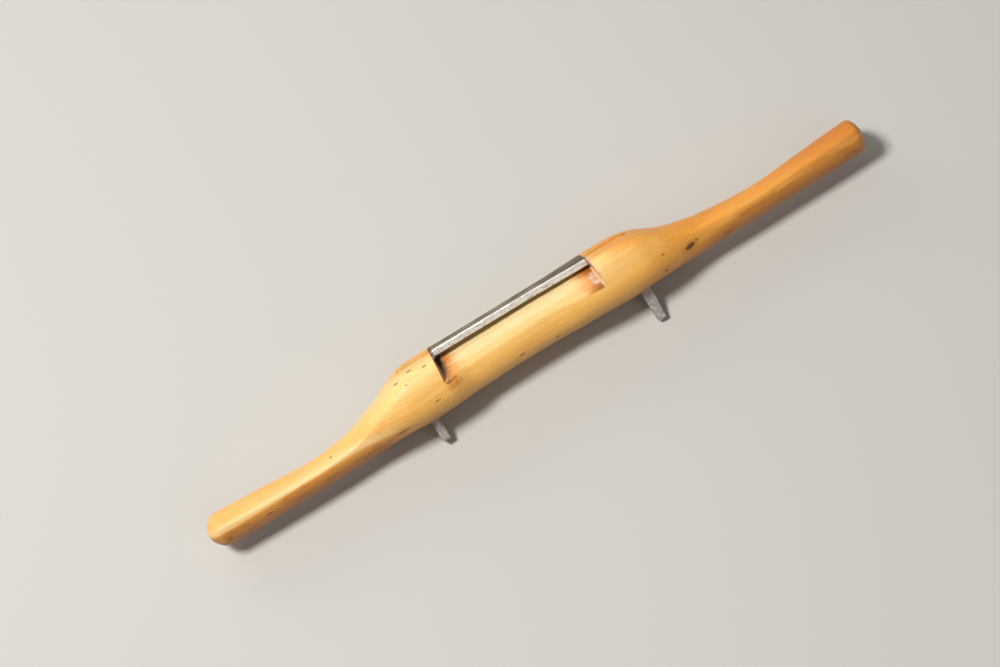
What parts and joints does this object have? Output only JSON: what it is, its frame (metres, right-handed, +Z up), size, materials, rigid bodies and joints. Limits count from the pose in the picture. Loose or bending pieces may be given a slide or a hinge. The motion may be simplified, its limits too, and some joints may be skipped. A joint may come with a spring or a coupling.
{
  "type": "spokeshave",
  "caption": "Small wooden spokeshave: a one-piece stock with two slim handles and a hollowed throat, holding a narrow forged iron by two tapered tangs.",
  "frame": {"origin": "middle of the bottom of the bounding box, on the surface that the tool lies on", "axes": "+X along the stock from the left handle to the right handle, +Z up, +Y away from the tang tips; the tool lies on its front with the longer tang's tip touching the surface, so its sole looks along +Y and up and its tangs point along -Y and down"},
  "size_m": [0.2674, 0.0354, 0.0277],
  "materials": {
    "boxwood": "worn smooth, waxed by handling",
    "forged_steel": "forged, worn bright on its back edge, brown patina on its sole face"
  },
  "bodies": {
    "stock": {"stock": "boxwood"},
    "iron": {"iron": "forged_steel"}
  },
  "joints": [
    {"name": "iron_depth", "type": "slide", "parent": "stock", "child": "iron", "axis": [0, 0.8407, 0.5414], "range_m": [-0.0005, 0.006]}
  ]
}
